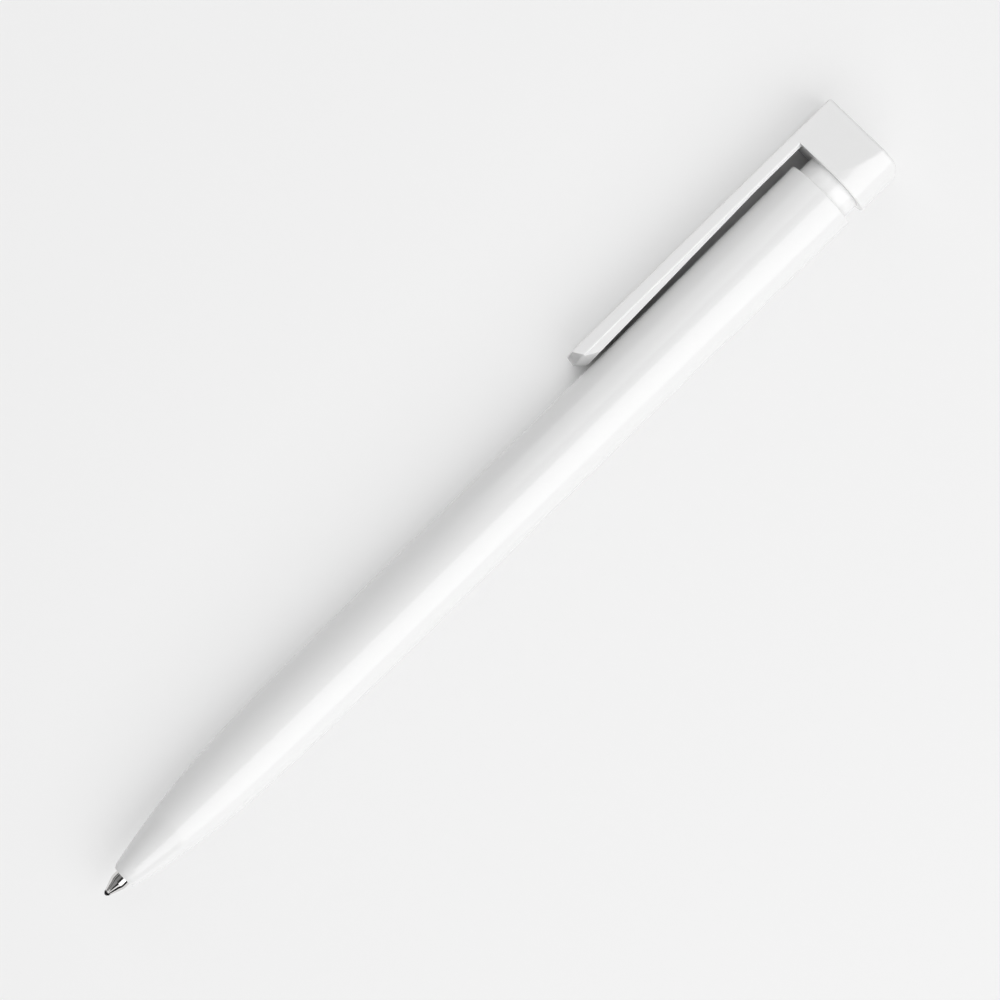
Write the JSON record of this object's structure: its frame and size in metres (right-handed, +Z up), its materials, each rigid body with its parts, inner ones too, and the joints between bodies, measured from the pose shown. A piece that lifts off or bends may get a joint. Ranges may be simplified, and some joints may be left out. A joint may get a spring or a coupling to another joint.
{
  "type": "push-button ballpoint pen",
  "caption": "Slim white retractable ballpoint pen: one-piece tapered barrel, metal point, and a push cap that carries a straight pocket clip.",
  "frame": {"origin": "on the surface that the pen lies on, under the middle of its box", "axes": "+X along the pen from the writing point to the cap, +Y towards the clip's side, +Z up as it lies on its barrel and one flat side of the clip"},
  "size_m": [0.141, 0.014, 0.0105],
  "materials": {
    "white_gloss": "polished moulded plastic",
    "latch_plastic": "plain moulded acetal",
    "refill_plastic": "plain extruded and moulded plastic",
    "spring_steel": "drawn wire",
    "point_metal": "turned nickel silver",
    "ball_carbide": "ground tungsten carbide",
    "ink": "blue paste ink"
  },
  "bodies": {
    "barrel": {"barrel": "white_gloss", "guide_sleeve": "latch_plastic", "return_spring": "spring_steel"},
    "push_button": {"push_plunger": "white_gloss", "push_cap": "white_gloss"},
    "clip": {"clip": "white_gloss"},
    "refill": {"refill_tube": "refill_plastic", "refill_end_plug": "refill_plastic", "ink_column": "ink", "refill_nozzle": "refill_plastic", "writing_point": "point_metal"},
    "cam_rotor": {"cam_rotor": "latch_plastic"},
    "writing_ball": {"writing_ball": "ball_carbide"}
  },
  "joints": [
    {"name": "button_push", "type": "slide", "parent": "barrel", "child": "push_button", "axis": [-1, 0, 0], "range_m": [-0.005, 0.002], "stiffness_N_per_m": 250},
    {"name": "refill_travel", "type": "slide", "parent": "barrel", "child": "refill", "axis": [-1, 0, 0], "range_m": [-0.005, 0.002], "deforming": ["return_spring"]},
    {"name": "rotor_index", "type": "hinge", "parent": "refill", "child": "cam_rotor", "pos_m": [0.03025, -0.00171, 0.00525], "axis": [1, 0, 0], "range_deg": [0, 90]},
    {"name": "ball_roll", "type": "hinge", "parent": "refill", "child": "writing_ball", "pos_m": [-0.0701, -0.00171, 0.00525], "axis": [0, 1, 0], "continuous": true},
    {"name": "clip_flex", "type": "hinge", "parent": "push_button", "child": "clip", "pos_m": [0.06335, 0.00617, 0.00319], "axis": [0, -0.2524, -0.9676], "range_deg": [0, 3.5], "stiffness_Nm_per_rad": 3}
  ],
  "couplings": [
    {"joint": "refill_travel", "follows": "button_push", "ratio": 1}
  ]
}
